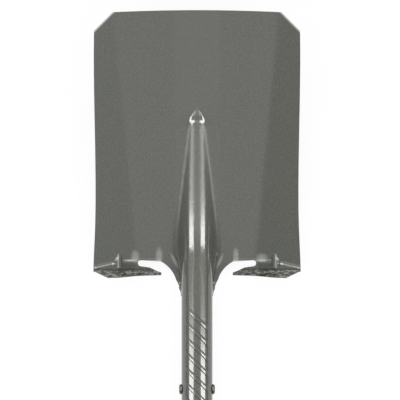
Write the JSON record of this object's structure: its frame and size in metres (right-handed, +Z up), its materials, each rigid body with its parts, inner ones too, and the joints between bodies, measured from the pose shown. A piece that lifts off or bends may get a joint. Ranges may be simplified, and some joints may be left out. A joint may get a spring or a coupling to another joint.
{
  "type": "square mouth shovel",
  "caption": "Square mouth shovel: pressed steel pan with cut corners, raised frog, turned steps and ribbed socket, on a straight tubular shaft with a D grip.",
  "frame": {"origin": "on the floor, under the middle of the whole shovel as it lies on its back", "axes": "+Y from the grip to the mouth, +X to the right of the pan seen from above, +Z up from the floor, out of the pan's face"},
  "size_m": [0.2438, 1.04, 0.1003],
  "materials": {
    "blade_paint": "satin metallic grey powder coat",
    "rivet_steel": "bright zinc",
    "shaft_fibreglass": "smooth pultruded",
    "core_wood": "turned, bare",
    "grip_plastic": "fine grained",
    "sleeve_rubber": "soft, fine grained",
    "cap_plastic": "moulded"
  },
  "bodies": {
    "root": {"blade": "blade_paint", "back_plate": "blade_paint", "back_plate_weld": "blade_paint", "socket_seam_weld": "blade_paint", "socket_rivets": "rivet_steel", "shaft": "shaft_fibreglass", "shaft_core": "core_wood", "grip_plug": "core_wood", "socket_collar": "grip_plastic", "grip_yoke": "grip_plastic", "grip_sleeve": "sleeve_rubber", "crossbar_rod": "rivet_steel", "crossbar_caps": "cap_plastic", "grip_pins": "rivet_steel"}
  },
  "joints": []
}
